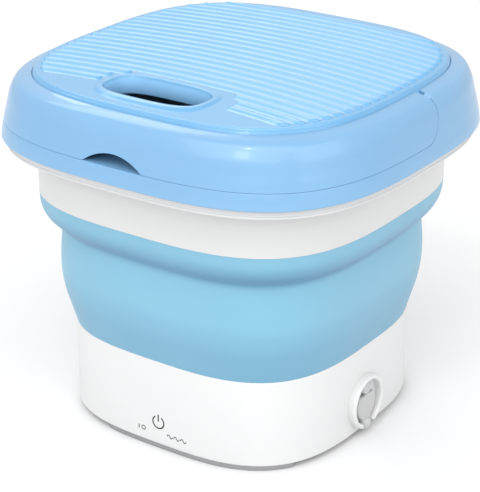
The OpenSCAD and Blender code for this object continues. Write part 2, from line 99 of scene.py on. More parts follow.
# rim and handle: they part at the seam, and the handle turns about the pivot (y, z)
RIM_HALF = rim_high[0]
SEAM_HALF = 0.1
SEAM_Z = handle_low[2] - SEAM_HALF
SHOULDER_HALF = handle_high[0]
SHOULDER_TOP = handle_high[2]
UPSTAND = 118.9
UPSTAND_TOP = 238.6
PIVOT = np.array([(pins_low[1] + pins_high[1]) / 2, (pins_low[2] + pins_high[2]) / 2])
LOBE_R = 17.0
LOBE_GAP = 0.35

# lid: its flat border stands above the shoulder
LID_HALF = lid_high[0]
LID_GAP = LID_HALF + 0.12
LID_TOP = lid_high[2]
BORDER_HALF = LID_HALF - 1.6
BORDER_Z = SHOULDER_TOP + 3.1

COLUMNS = 288


# ---- outlines ----


def outline(angles, power=SQUARENESS):
    """Points of the unit superellipse at these angles, as an (n, 2) array."""
    x, y = np.cos(angles), np.sin(angles)
    reach = (np.abs(x) ** power + np.abs(y) ** power) ** (-1 / power)
    return np.stack([reach * x, reach * y], axis=1)


def size_at(x, y):
    """Size of the rounded-square outline that passes through a point."""
    return (np.abs(x) ** SQUARENESS + np.abs(y) ** SQUARENESS) ** (1 / SQUARENESS)


def unit_circle(steps):
    """Points of a circle of radius 1, as an (n, 2) array."""
    turn = np.linspace(0, 2 * math.pi, steps, endpoint=False)
    return np.column_stack([np.cos(turn), np.sin(turn)])


def smooth(points, per_span=6):
    """A curve through the points (Catmull-Rom)."""
    p = np.array(points, float)
    p = np.vstack([2 * p[0] - p[1], p, 2 * p[-1] - p[-2]])
    out = []
    for a, b, c, d in zip(p[:-3], p[1:-2], p[2:-1], p[3:]):
        for s in np.arange(per_span) / per_span:
            square = (2 * a - 5 * b + 4 * c - d) * s**2
            cube = (3 * b - a - 3 * c + d) * s**3
            out.append(0.5 * (2 * b + (c - a) * s + square + cube))
    return np.array(out + [p[-2]])


def rounded(corners, steps=4):
    """A closed section from [size, z, radius] corners, each one turned into a short curve."""
    most = 0.45
    c = np.array([(*p, 0)[:3] for p in corners], float)
    out = []
    for k, (x, z, radius) in enumerate(c):
        here = np.array([x, z])
        if radius == 0:
            out.append(here)
            continue
        to_last, to_next = c[k - 1][:2] - here, c[(k + 1) % len(c)][:2] - here
        trim_a = min(radius, most * np.linalg.norm(to_last))
        trim_b = min(radius, most * np.linalg.norm(to_next))
        start = here + to_last / np.linalg.norm(to_last) * trim_a
        end = here + to_next / np.linalg.norm(to_next) * trim_b
        for s in np.linspace(0, 1, steps + 1):
            out.append((1 - s) ** 2 * start + 2 * s * (1 - s) * here + s * s * end)
    return np.array(out)


def sides(curve):
    """Unit vectors square to an open curve, to the left of its direction."""
    tangent = np.gradient(curve, axis=0)
    tangent /= np.linalg.norm(tangent, axis=1)[:, None]
    return np.stack([-tangent[:, 1], tangent[:, 0]], axis=1)


# ---- meshes ----


class Shells:
    """Closed surfaces gathered into one mesh."""

    def __init__(self):
        self.points = []
        self.faces = []

    def grid(self, rows, wrap_rows=False, wrap_columns=False):
        """Quads over an array of points (rows, columns, 3), in millimetres."""
        rows = np.asarray(rows, float)
        n_rows, n_columns = rows.shape[:2]
        start = len(self.points)
        self.points.extend(rows.reshape(-1, 3).tolist())
        for r in range(n_rows if wrap_rows else n_rows - 1):
            for c in range(n_columns if wrap_columns else n_columns - 1):
                r2, c2 = (r + 1) % n_rows, (c + 1) % n_columns
                corners = (r, c), (r, c2), (r2, c2), (r2, c)
                self.faces.append([start + i * n_columns + j for i, j in corners])
        return start

    def sweep(self, section):
        """A closed section of [size, z] taken once round the rounded square."""
        ring = outline(np.linspace(0, 2 * math.pi, COLUMNS, endpoint=False))
        rows = [np.column_stack([ring * size, np.full(COLUMNS, z)]) for size, z in section]
        self.grid(rows, wrap_rows=True, wrap_columns=True)

    def tube(self, rows):
        """Closed rings (rows, columns, 3) joined in a row, with a flat face over each end."""
        rows = np.asarray(rows, float)
        start = self.grid(rows, wrap_columns=True)
        n_rows, n_columns = rows.shape[:2]
        last = start + (n_rows - 1) * n_columns
        self.faces.append(list(range(start, start + n_columns)))
        self.faces.append(list(range(last, last + n_columns))[::-1])

    def build(self, name, sharp=35, bevel=0.0):
        """The mesh as an object, smooth below the sharp angle, with its sharp edges bevelled when a bevel
        width is given.
        """
        mesh = bpy.data.meshes.new(name)
        mesh.from_pydata([[v * MM for v in p] for p in self.points], [], self.faces)
        work = bmesh.new()
        work.from_mesh(mesh)
        bmesh.ops.remove_doubles(work, verts=work.verts, dist=1e-7)
        bmesh.ops.recalc_face_normals(work, faces=work.faces)
        work.to_mesh(mesh)
        work.free()
        shade(mesh, sharp)
        piece = bpy.data.objects.new(name, mesh)
        bpy.context.scene.collection.objects.link(piece)
        if bevel:
            edge = piece.modifiers.new("soft_edges", "BEVEL")
            edge.width = bevel * MM
            edge.segments = 2
            edge.limit_method = "ANGLE"
            edge.angle_limit = math.radians(40)
            edge.harden_normals = True
        return piece


def shade(mesh, sharp):
    """Smooth shading, apart from edges sharper than an angle in degrees."""
    mesh.polygons.foreach_set("use_smooth", [True] * len(mesh.polygons))
    mesh.set_sharp_from_angle(angle=math.radians(sharp))


def drill(piece, start, end, radius):
    """Cuts a round hole from start to end, in millimetres, and applies it."""
    off_axis = [0.0, 0.3, 1.0]
    start, end = np.array(start, float), np.array(end, float)
    axis = (end - start) / np.linalg.norm(end - start)
    side = np.cross(axis, off_axis)
    side /= np.linalg.norm(side)
    ring = radius * unit_circle(96) @ np.array([side, np.cross(axis, side)])
    bit = Shells()
    bit.tube([start + ring, end + ring])
    cutter = bit.build("drill_bit")
    cut = piece.modifiers.new("drill", "BOOLEAN")
    cut.operation = "DIFFERENCE"
    cut.solver = "EXACT"
    cut.object = cutter
    view = bpy.context.evaluated_depsgraph_get()
    mesh = bpy.data.meshes.new_from_object(piece.evaluated_get(view))
    piece.modifiers.remove(cut)
    piece.data = mesh
    bpy.data.objects.remove(cutter)
    mesh.set_sharp_from_angle(angle=math.radians(35))


def place(piece, body, nodes, material):
    """Puts a finished piece on its body in place of CAD nodes."""
    piece.data.materials.clear()
    piece.data.materials.append(material)
    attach(piece, body)
    if nodes:
        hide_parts(*nodes)
    return piece


# ---- materials ----


def linear(red, green, blue):
    """8-bit display colour to linear light."""
    values = [v / 255 for v in (red, green, blue)]
    return [v / 12.92 if v <= 0.04045 else ((v + 0.055) / 1.055) ** 2.4 for v in values] + [1.0]


def brighter(colour, factor):
    """The colour times a factor, no channel above 1."""
    return [min(1.0, v * factor) for v in colour[:3]] + [1.0]


def surface(name, colour, roughness, mottle=0.03, grain=0.02, grain_scale=1500, **sockets):
    """Moulded or metal surface: slow colour drift, uneven roughness and a fine grain.

    Noise scales are per metre, and other sockets of the shader are given by name.
    """
    drift_scale, polish_scale, speckle = 14, 60, 0.06
    material = bpy.data.materials.new(name)
    material.use_nodes = True
    nodes, links = material.node_tree.nodes, material.node_tree.links
    shader = nodes["Principled BSDF"]
    position = nodes.new("ShaderNodeTexCoord")

    def noise(scale, detail):
        node = nodes.new("ShaderNodeTexNoise")
        node.inputs["Scale"].default_value = scale
        node.inputs["Detail"].default_value = detail
        links.new(position.outputs["Object"], node.inputs["Vector"])
        return node

    def ramp(source, first, last):
        node = nodes.new("ShaderNodeValToRGB")
        node.color_ramp.elements[0].position = 0.35
        node.color_ramp.elements[1].position = 0.65
        node.color_ramp.elements[0].color = first
        node.color_ramp.elements[1].color = last
        links.new(source.outputs["Fac"], node.inputs["Fac"])
        return node

    drift = ramp(noise(drift_scale, 3), brighter(colour, 1 - mottle), brighter(colour, 1 + mottle))
    links.new(drift.outputs["Color"], shader.inputs["Base Color"])
    grey_low = [roughness * (1 - speckle)] * 3 + [1.0]
    grey_high = [roughness * (1 + speckle)] * 3 + [1.0]
    polish = ramp(noise(polish_scale, 4), grey_low, grey_high)
    links.new(polish.outputs["Color"], shader.inputs["Roughness"])
    bump = nodes.new("ShaderNodeBump")
    bump.inputs["Strength"].default_value = grain
    bump.inputs["Distance"].default_value = 0.2 * MM
    links.new(noise(grain_scale, 2).outputs["Fac"], bump.inputs["Height"])
    links.new(bump.outputs["Normal"], shader.inputs["Normal"])
    for socket, value in sockets.items():
        shader.inputs[socket.replace("_", " ")].default_value = value
    return material


def paint_light_and_shade_by_facing(material, direction, tint, low, high):
    """Paints light and shade into a material's colour: multiplies it by a tint where it faces a direction
    (cosines low to high).
    """
    nodes, links = material.node_tree.nodes, material.node_tree.links
    base = nodes["Principled BSDF"].inputs["Base Color"]
    colour = base.links[0].from_socket
    geometry = nodes.new("ShaderNodeNewGeometry")
    facing = nodes.new("ShaderNodeVectorMath")
    facing.operation = "DOT_PRODUCT"
    facing.inputs[1].default_value = direction
    tone = nodes.new("ShaderNodeValToRGB")
    tone.color_ramp.elements[0].position = low
    tone.color_ramp.elements[1].position = high
    tone.color_ramp.elements[0].color = (1, 1, 1, 1)
    tone.color_ramp.elements[1].color = (*tint, 1)
    product = nodes.new("ShaderNodeVectorMath")
    product.operation = "MULTIPLY"
    links.new(geometry.outputs["Normal"], facing.inputs[0])
    links.new(facing.outputs["Value"], tone.inputs["Fac"])
    links.new(colour, product.inputs[0])
    links.new(tone.outputs["Color"], product.inputs[1])
    links.new(product.outputs["Vector"], base)


GLOSS = dict(roughness=0.3, mottle=0.012, grain=0.03, grain_scale=900, Coat_Weight=0.4, Coat_Roughness=0.06)
SATIN = dict(roughness=0.34, mottle=0.006, grain=0.03, Coat_Weight=0.25, Coat_Roughness=0.12)

RECIPES = {
    "rim_blue": dict(colour=linear(118, 165, 203), **GLOSS),
    # This lid colour is lightened: painted light, seen on the lid's upright faces such as the slot walls and
    # edge; its tops are tinted to the lid's own blue in make_materials.
    "lid_blue": dict(colour=linear(156, 212, 255), **GLOSS),
    "bellows_blue": dict(
        colour=linear(122, 175, 199), roughness=0.52, mottle=0.012, grain=0.1, grain_scale=1800,
        Sheen_Weight=0.15, Sheen_Roughness=0.5,
    ),
    "shell_white": dict(colour=linear(214, 214, 214), **SATIN),
    # The shell's white plastic made darker: painted shade for the collar, which stands under the rim's
    # overhang.
    "shaded_shell_white": dict(colour=linear(204, 204, 204), **SATIN),
    "grey_plastic": dict(colour=linear(190, 190, 190), roughness=0.5, grain=0.1),
    "pale_silicone": dict(
        colour=linear(186, 186, 186), roughness=0.45, mottle=0.01, grain=0.06,
        Subsurface_Weight=0.25, Subsurface_Radius=(1, 1, 1), Subsurface_Scale=2 * MM,
    ),
    "steel": dict(
        colour=linear(196, 198, 202), roughness=0.32, mottle=0.04, grain=0.15, grain_scale=2200, Metallic=1.0
    ),
    "bronze": dict(
        colour=linear(190, 142, 90), roughness=0.4, mottle=0.08, grain=0.25, grain_scale=2600, Metallic=1.0
    ),
    "foot_rubber": dict(
        colour=linear(150, 150, 152), roughness=0.75, mottle=0.04, grain=0.25, grain_scale=2400
    ),
    "black_rubber": dict(colour=linear(34, 34, 36), roughness=0.7, mottle=0.1, grain=0.25, grain_scale=2400),
    "circuit_board": dict(
        colour=linear(34, 104, 62), roughness=0.4, mottle=0.15, grain=0.08, grain_scale=800
    ),
    "nylon": dict(colour=linear(232, 226, 208), roughness=0.45, grain=0.1, grain_scale=1400),
    "black_plastic": dict(colour=linear(30, 30, 32), roughness=0.4, mottle=0.1, grain=0.15, grain_scale=1800),
    "clear_lens": dict(
        colour=linear(226, 226, 240), roughness=0.12, mottle=0.01, grain_scale=900, Transmission_Weight=0.7
    ),
    "ink": dict(colour=linear(34, 34, 36), roughness=0.5, mottle=0.1, grain=0.1, grain_scale=2000),
}


def make_materials():
    """All materials by name. The silicone has painted shade on its undersides, and the lid has painted light
    on its upright faces.
    """
    materials = {name: surface(name, **recipe) for name, recipe in RECIPES.items()}
    # Painted shade: the silicone's colour darkens the more it faces down, as under its fold.
    paint_light_and_shade_by_facing(materials["bellows_blue"], (0, 0, -1), (0.15, 0.4, 0.6), 0.0, 1.0)
    # Painted light: the lid's tops are tinted to its own blue, so its upright faces keep the lighter painted
    # colour.
    paint_light_and_shade_by_facing(materials["lid_blue"], (0, 0, 1), (0.42, 0.56, 0.62), 0.05, 0.4)
    return materials


# ---- base ----

JACK_HOLE_R = 4.1
RAIL_WIDTH = 5.9
RAIL_OUT = 0.8
RAIL_ENDS = (-113, -39)


def make_base():
    """Base wall with a hole for the drain in its right side and one for the power inlet behind."""
    shells = Shells()
    inner = BASE_HALF - WALL
    shells.sweep(rounded([
        [BASE_HALF, BASE_LOW, 1.6], [BASE_HALF, BASE_TOP, 1.0],
        [inner, BASE_TOP, 0.5], [inner, BASE_LOW, 0.5],
    ]))
    base = shells.build("base_wall")
    inside, outside = BASE_HALF - 10, BASE_HALF + 10
    drill(base, [inside, *DRAIN], [outside, *DRAIN], BEZEL_R - 1)
    jack_low, jack_high = node_box("dc_jack")
    jack_x, _, jack_z = (jack_low + jack_high) / 2
    drill(base, [jack_x, inside, jack_z], [jack_x, outside, jack_z], JACK_HOLE_R)
    return base


def strip(path, width):
    """Outline of a line of this width along a path, with round ends, as an (n, 2) array."""
    path = np.array(path, float)
    side = sides(path) * width / 2
    along = np.stack([side[:, 1], -side[:, 0]], axis=1)
    around = np.linspace(math.pi / 2, -math.pi / 2, 9)[1:-1, None]
    forward = path[-1] + along[-1] * np.cos(around) + side[-1] * np.sin(around)
    back = path[0] - along[0] * np.cos(around) - side[0] * np.sin(around)
    return np.vstack([path + side, forward, (path - side)[::-1], back])


def make_feet():
    """Two rails on an arc under the base, each standing on the floor with a rounded edge."""
    shells = Shells()
    middle = rails_high[1] + RAIL_OUT - RAIL_WIDTH / 2
    inset_and_z = [(1.0, 0.0), (0.4, 0.15), (0.0, 0.8), (0.0, BASE_LOW)]
    for turn in (0, 180):
        start, end = (math.radians(a + turn) for a in RAIL_ENDS)
        path = middle * outline(np.linspace(start, end, 80))
        rings = []
        for inset, z in inset_and_z:
            edge = strip(path, RAIL_WIDTH - 2 * inset)
            rings.append(np.column_stack([edge, np.full(len(edge), z)]))
        shells.tube(rings)
    return shells.build("foot_rails_soft")


# ---- control marks, at (x, z) on the base's front wall ----

INK_BACK, INK_FRONT = -0.2, 0.06
POWER_AT, POWER_R, POWER_LINE = np.array([2.8, 20.7]), 4.5, 1.0
BAR_AT, BAR_HALF, BAR_LINE = np.array([-13.6, 12.9]), 1.3, 0.7
RING_AT, RING_R = np.array([-9.8, 12.9]), 1.45
WAVE_LEFTS, WAVE_Z, WAVE_LENGTH, WAVE_RISE = (10.0, 15.4, 20.8), 12.6, 4.4, 1.2
FINE_LINE = 0.6


def on_front(x, z, out):
    """Points on the base's front wall at x and z, standing out by a distance."""
    y = -BASE_HALF * (1 - np.abs(x / BASE_HALF) ** SQUARENESS) ** (1 / SQUARENESS)
    return np.column_stack([x, y - out, z])


def arc(centre, radius, start, end):
    """Arc round a centre, between two angles in degrees."""
    turn = np.radians(np.linspace(start, end, 40))
    return centre + radius * np.column_stack([np.cos(turn), np.sin(turn)])


def make_marks():
    """Printed control marks: power sign, bar and ring for on and off, and three light waves."""
    shells = Shells()

    def draw(path, width):
        edge = strip(path, width)
        shells.tube([on_front(edge[:, 0], edge[:, 1], out) for out in (INK_BACK, INK_FRONT)])

    draw(arc(POWER_AT, POWER_R, 128, 412), POWER_LINE)
    draw([POWER_AT + [0, rise] for rise in (0.9, 3, 5.4)], POWER_LINE)
    draw([BAR_AT + [0, rise] for rise in (-BAR_HALF, 0, BAR_HALF)], BAR_LINE)
    draw(arc(RING_AT, RING_R, 92, 448), FINE_LINE)
    x = np.linspace(0, WAVE_LENGTH, 17)
    z = WAVE_Z + WAVE_RISE * np.sin(x / WAVE_LENGTH * 2 * math.pi)
    for left in WAVE_LEFTS:
        draw(np.column_stack([left + x, z]), FINE_LINE)
    return shells.build("control_marks")


# ---- drain: its ring, and a plug that swings out on a neck ----

RING_BORE = 15.7
RING_GAP_HALF = 5.5
RING_END_R = 1.6
PLATE_BORE = 6.5
PLATE_THICK = 1.1
PLUG_BACK, PLUG_FRONT = 102.3, 105.2
PLUG_STEM_R = 5.3
DISC_Z, DISC_R, DISC_FLAT = 22.9, 11.3, 6.9
TONGUE_HALF, TONGUE_LOW, TONGUE_TAPER = 4.9, flap_low[2] + 0.6, 5.5
NECK_HALF, NECK_RISE = 2.2, 7.6
GRIP_Z, GRIP_R, GRIP_ROUND = 8.6, 4.1, 3.6


def around_drain(radius, angle, x):
    """Points on a circle round the drain's axis, angle from +Y towards +Z."""
    y = DRAIN[0] + radius * np.cos(angle)
    z = DRAIN[1] + radius * np.sin(angle)
    return np.stack([np.broadcast_to(x, np.shape(y)), y, z], axis=-1)


def make_bezel():
    """Flat plate in the wall, and a round ring on it with a gap at the bottom for the tongue."""
    shells = Shells()
    back, front = bezel_low[0], bezel_high[0]
    floor = back + PLATE_THICK
    turn = np.linspace(0, 2 * math.pi, 96, endpoint=False)
    rim = BEZEL_R - 0.1
    plate = rounded([[PLATE_BORE, back, 0], [rim, back, 0.3], [rim, floor, 0.3], [PLATE_BORE, floor, 0.3]])
    shells.grid([around_drain(r, turn, x) for r, x in plate], True, True)
    section = rounded([
        [BEZEL_R, back + 0.2, 0.2], [BEZEL_R, front, 2.3],
        [RING_BORE, front, 1.9], [RING_BORE, floor - 0.1, 0.2],
    ], 6)
    middle = np.array([(BEZEL_R + RING_BORE) / 2, floor])
    half_gap = math.asin(RING_GAP_HALF / middle[0])
    angles = np.linspace(half_gap - math.pi / 2, 1.5 * math.pi - half_gap, 120)
    from_end = np.minimum(angles - angles[0], angles[-1] - angles) * middle[0]
    scale = np.sqrt(1 - (1 - np.clip(from_end / RING_END_R, 0.02, 1)) ** 2)
    rings = []
    for angle, s in zip(angles, scale):
        radius, x = (middle + (section - middle) * s).T
        rings.append(around_drain(radius, angle, x))
    shells.tube(rings)
    return shells.build("drain_ring")


def ease_max(a, b, width):
    """Larger of two values with a smooth change between them."""
    return width * np.logaddexp(a / width, b / width)


def flap_outline():
    """Centre (y, z) and outline of the plug's disc, neck and tongue."""
    centre = np.array([DRAIN[0], DISC_Z])
    angles = np.linspace(0, 2 * math.pi, 128, endpoint=False) - math.pi / 2
    down = np.abs((angles + math.pi / 2 + math.pi) % (2 * math.pi) - math.pi)
    up = math.pi - down

    def across(half, angle):
        return half / np.maximum(np.sin(angle), 1e-3)

    def ahead(rise):
        return rise / np.maximum(np.cos(up), 1e-3)

    disc = np.minimum(DISC_R, ahead(DISC_FLAT))
    tongue = np.minimum(across(TONGUE_HALF, down), DISC_Z - TONGUE_LOW - TONGUE_TAPER * down**2)
    neck = np.minimum(across(NECK_HALF, up), ahead(NECK_RISE))
    below, above = down < 1.2, up < 0.6
    reach = ease_max(disc, np.where(below, tongue, 0), 0.35)
    reach = ease_max(reach, np.where(above, neck, 0), 0.12)
    return centre, np.column_stack([reach * np.cos(angles), reach * np.sin(angles)])


def pillow(shells, centre, edge, levels):
    """Solid with this outline round a centre (y, z): levels are (inset, x)."""
    length = np.linalg.norm(edge, axis=1)[:, None]
    rings = []
    for inset, x in levels:
        points = centre + edge * (1 - inset / length)
        rings.append(np.column_stack([np.full(len(edge), x), points]))
    shells.tube(rings)


def make_flap():
    """Swinging plug: disc with neck and tongue, the stem behind it and the grip on the tongue."""
    shells = Shells()
    back, front = PLUG_BACK, PLUG_FRONT
    circle = unit_circle(64)
    pillow(shells, *flap_outline(), [
        (0.7, back), (0.15, back + 0.2), (0, back + 0.8), (0, front - 0.9),
        (0.25, front - 0.3), (0.9, front), (3.0, front + 0.12),
    ])
    stem_end = flap_low[0]
    pillow(shells, DRAIN, PLUG_STEM_R * circle, [(0.6, stem_end), (0, stem_end + 0.6), (0, back + 0.3)])
    grip_back, grip_front = front - 0.4, flap_high[0]
    levels = [
        (GRIP_ROUND * (1 - math.cos(a)), grip_back + (grip_front - grip_back) * math.sin(a))
        for a in np.linspace(0, 1.35, 8)
    ]
    pillow(shells, [DRAIN[0], GRIP_Z], GRIP_R * circle, levels)
    return shells.build("drain_plug")


def make_anchor():
    """Fixed round end of the plug's neck."""
    shells = Shells()
    low, high = node_box("drain_anchor")
    radius = (high[1] - low[1]) / 2
    centre = (low[1:] + high[1:]) / 2
    back, front = low[0], high[0]
    pillow(shells, centre, radius * unit_circle(64), [
        (0.4, back), (0, back + 0.4), (0, front - 1.0),
        (0.3, front - 0.35), (1.1, front - 0.02), (2.5, front),
    ])
    return shells.build("plug_anchor")


# ---- bellows and collar ----


def make_bellows():
    """Silicone wall from the base to the collar, with one fold under the collar."""
    outer = smooth([
        [101.8, BASE_TOP], [103.7, 72.7], [105.8, 80.7], [107.9, 89], [109.3, 98], [109.9, 105.5],
        [109.7, 117], [108.8, 128], [108.4, 134.4], [109.8, 138.4], [114.2, 142.6], [118, 147.2],
        [120.3, 153.4], [BELLOWS_HALF, COLLAR_LOW - 0.02],
    ])
    inner = outer + SILICONE * sides(outer)
    inner[0] = outer[0] - [SILICONE, 0]
    inner[-1] = outer[-1] - [SILICONE, 0]
    shells = Shells()
    shells.sweep(np.vstack([outer, inner[::-1]]))
    return shells.build("bellows_wall")


def make_collar():
    """White wall with a flange at its top and a lip that hangs from the flange's edge."""
    inner = BELLOWS_HALF - WALL
    flange_low = FLANGE_TOP - 2.2
    lip_low = FLANGE_TOP - 5.7
    shells = Shells()
    shells.sweep(rounded([
        [BELLOWS_HALF, COLLAR_LOW, 0.15], [BELLOWS_HALF, flange_low, 2.5],
        [LIP_HALF - 2.2, flange_low, 1.0], [LIP_HALF - 2.0, lip_low + 0.5, 0.6],
        [LIP_HALF - 1.3, lip_low, 0.7], [LIP_HALF, lip_low, 0.7], [LIP_HALF, lip_low + 1.2, 0.5],
        [LIP_HALF - 0.6, lip_low + 1.7, 0.6], [LIP_HALF - 0.6, FLANGE_TOP, 0.4],
        [inner, FLANGE_TOP, 0.4], [inner, COLLAR_LOW, 0.4],
    ]))
    return shells.build("collar_wall")


# ---- rim and handle: one shoulder, split by an arc round each pivot ----

BAND_BEND = [RIM_HALF - 0.8, FLANGE_TOP + 5.8]
REAR_FOOT = [BAND_BEND[0] + 0.045, BAND_BEND[1] + 0.5]
STRAIGHT_FROM = PIVOT[1] + 9
NOTCH_R = 36.3
NOTCH_RISE = 8.0
NOTCH_HALF = 22.7
NOTCH_FADE_Z = 228.0
NOTCH_ANGLE = 0.165

UNIT_ANGLES = np.linspace(-math.pi / 2, math.pi / 2, 2001)
UNIT_Y = outline(UNIT_ANGLES)[:, 1]


def shoulder_curve():
    """Outer side of the shoulder from the seam up to the gap round the lid."""
    return smooth([
        [SHOULDER_HALF, SEAM_Z], [138.2, 217.5], [137, 222.5], [135.9, 227.7], [134.9, 231.5],
        [133.4, 235.2], [132, 237.6], [130.4, 239.2], [128.2, 240.2], [125.4, 241.05],
        [LID_GAP, SHOULDER_TOP],
    ], 5)


def skin(curve):
    """A closed section WALL thick behind an open curve, with the same number of points inside."""
    inner = curve + WALL * sides(curve)
    inner[0] = [curve[0][0] - WALL, curve[0][1]]
    inner[-1] = [curve[-1][0], curve[-1][1] - WALL]
    return np.vstack([curve, inner[::-1]])


def angle_at(y, size):
    """Angle on the right-hand side at which the outline of this size reaches y."""
    return np.interp(y / size, UNIT_Y, UNIT_ANGLES)


def arc_end(z, radius):
    """Y of the arc round the handle's pivot at a height, on its rear side."""
    return PIVOT[0] + np.sqrt(np.maximum(radius**2 - (z - PIVOT[1]) ** 2, 0.0))


def partial_sweep(section, nominal, ends):
    """Rows of a closed section swept along nominal angles, its end stretches pulled to end elsewhere.

    ends(size, z) gives the angle, from the middle of the sweep, at which a row of the section ends.
    """
    still = 0.6
    middle = (nominal[0] + nominal[-1]) / 2
    half = (nominal[-1] - nominal[0]) / 2
    share = np.clip((np.abs(nominal - middle) / half - still) / (1 - still), 0, 1)
    weight = share * share * (3 - 2 * share) * np.sign(nominal - middle)
    rows = []
    for size, z in section:
        reach = ends(size, z) - half
        ring = outline(nominal + weight * reach) * size
        rows.append(np.column_stack([ring, np.full(len(ring), z)]))
    return np.array(rows)


def add_skin(shells, rows):
    """A swept skin, with quads over both ends between its outer and inner side."""
    n_rows, n_columns = rows.shape[:2]
    start = shells.grid(rows, wrap_rows=True)
    for column in (0, n_columns - 1):
        for r in range(n_rows // 2 - 1):
            twin = n_rows - 1 - r
            corners = r, r + 1, twin - 1, twin
            shells.faces.append([start + i * n_columns + column for i in corners])


def make_rim():
    """Band, shelf and upstand all round, and the rear half of the shoulder, which laps over the band."""
    shells = Shells()
    shelf = SEAM_Z - SEAM_HALF
    band_in = LIP_HALF + 0.4
    band_low = FLANGE_TOP + 0.3
    shells.sweep(rounded([
        [RIM_HALF, band_low, 0.8], BAND_BEND, [SHOULDER_HALF, shelf, 0.25], [UPSTAND, shelf, 1.0],
        [UPSTAND, UPSTAND_TOP, 0.5], [UPSTAND - WALL, UPSTAND_TOP, 0.5], [UPSTAND - WALL, FLANGE_TOP],
        [UPSTAND, FLANGE_TOP], [UPSTAND, shelf - WALL, 0.8], [band_in - 1.4, shelf - WALL, 0.8],
        [band_in, BAND_BEND[1]], [band_in, band_low, 0.3],
    ]))

    def ends(size, z):
        y = arc_end(z, LOBE_R + LOBE_GAP)
        y = y if z < STRAIGHT_FROM else max(y, PIVOT[0] + LOBE_R)
        return math.pi / 2 - angle_at(y, size)

    section = skin(np.vstack([REAR_FOOT, shoulder_curve()]))
    add_skin(shells, partial_sweep(section, np.linspace(0, math.pi, 161), ends))
    return shells.build("rim_body", bevel=0.35)


def make_handle():
    """Front half of the shoulder, with a round lobe at each pivot and the finger notch in front."""
    shells = Shells()
    curve = shoulder_curve()
    curve[0] = [SHOULDER_HALF, SEAM_Z + SEAM_HALF]
    section = skin(curve)
    side = np.linspace(NOTCH_ANGLE + 0.005, math.pi / 2, 90)
    notch = np.linspace(-NOTCH_ANGLE, NOTCH_ANGLE, 41)
    nominal = np.concatenate([-side[::-1], notch, side]) - math.pi / 2

    def ends(size, z):
        return math.pi / 2 + angle_at(arc_end(z, LOBE_R), size)

    rows = partial_sweep(section, nominal, ends)
    lift_notch(rows, section)
    add_skin(shells, rows)
    return shells.build("carry_handle", bevel=0.15)


def lift_notch(rows, section):
    """Raises the lower edge of the handle's skin to an arc at the middle of the front."""
    half = len(section) // 2
    outer = section[:half]
    inner = section[half:][::-1]
    seam = outer[0][1]
    for c in range(rows.shape[1]):
        x = rows[0, c, 0]
        if abs(x) >= NOTCH_HALF:
            continue
        low = SEAM_Z + NOTCH_RISE - NOTCH_R + math.sqrt(NOTCH_R**2 - x * x)
        for r in range(half):
            z = outer[r][1]
            if z >= NOTCH_FADE_Z:
                break
            lifted = low + (z - seam) * (NOTCH_FADE_Z - low) / (NOTCH_FADE_Z - seam)
            for row, side in ((r, outer), (len(section) - 1 - r, inner)):
                size = np.interp(lifted, side[:, 1], side[:, 0])
                rows[row, c, :2] *= size / section[row][0]
                rows[row, c, 2] = lifted


# ---- lid: a crowned skin with a grip slot, and bowed washboard ribs ----

LID_FLOOR = BORDER_Z - 2.8
SPAN_HALF = 120.0
SLOT = np.array([-3.3, -88.3])
SLOT_HALF = np.array([36.5, 17.3])
SLOT_POWER = 3.2
SLOT_LOW = 234.9
RIB_PITCH = 9.1
RIB_COUNT = 22
RIB_BOW = 13.6
RIB_HALF = 117.0
RIB_HEIGHT = 1.55
RIB_END_R = 3.4
RIB_SHORTEST = 8.0
FIRST_RIB = -96.9
RIB_KEEP_OUT = SLOT_HALF + [13.0, 10.3]
LEAN_LENGTH = 14.0
LEAN_MOST = 1.3


def skin_z(x, y):
    """Height of the lid's skin: a slight crown over a flat border."""
    return BORDER_Z + (LID_TOP - RIB_HEIGHT - BORDER_Z) * (1 - (size_at(x, y) / SPAN_HALF) ** 2)


def lid_columns():
    """Matching points on the unit lid outline and directions from the slot's centre."""
    fine = np.linspace(0, 2 * math.pi, 4001)
    outer = outline(fine) * BORDER_HALF
    towards = outer - SLOT
    direction = np.unwrap(np.arctan2(towards[:, 1], towards[:, 0]))
    inner = outline(direction, SLOT_POWER) * SLOT_HALF
    length = np.zeros(len(fine))
    for curve, weight in ((outer, 1.0), (inner, 4.0)):
        step = np.linalg.norm(np.diff(curve, axis=0), axis=1)
        length[1:] += weight * np.cumsum(step)
    even = np.linspace(0, length[-1], COLUMNS + 72, endpoint=False)
    return np.interp(even, length, fine), np.interp(even, length, direction)


def slot_rim():
    """The slot rim's section, as (growth in x, growth in y, z), from under the lid over its crest."""
    crest = LID_TOP
    return [
        (2.6, 2.6, BORDER_Z - 3.4), (2.4, 2.4, SLOT_LOW + 0.4), (1.9, 1.9, SLOT_LOW),
        (0.5, 0.5, SLOT_LOW), (0.0, 0.0, SLOT_LOW + 0.5), (0.1, 0.1, crest - 2.6),
        (0.2, 0.3, crest - 1.2), (0.55, 0.7, crest - 0.45), (1.1, 1.4, crest - 0.08),
        (1.9, 2.4, crest), (2.9, 3.7, crest - 0.16), (3.8, 4.9, crest - 0.5), (4.5, 5.9, crest - 1.0),
    ]


def lid_edge():
    """The lid edge's section, as (size, z), from its border down and in to its hollow underside."""
    return [
        (BORDER_HALF - 0.5, BORDER_Z - 0.05), (BORDER_HALF - 0.15, BORDER_Z - 0.25),
        (BORDER_HALF, BORDER_Z - 0.6), (BORDER_HALF + 0.1, BORDER_Z - 1.3),
        (BORDER_HALF + 0.35, BORDER_Z - 1.5), (LID_HALF - 0.85, BORDER_Z - 1.6),
        (LID_HALF - 0.55, BORDER_Z - 1.9), (LID_HALF - 0.45, SHOULDER_TOP + 0.2),
        (LID_HALF, SHOULDER_TOP - 0.3), (LID_HALF, UPSTAND_TOP + 0.4),
        (UPSTAND - WALL, UPSTAND_TOP + 0.4), (UPSTAND - WALL, LID_FLOOR),
    ]


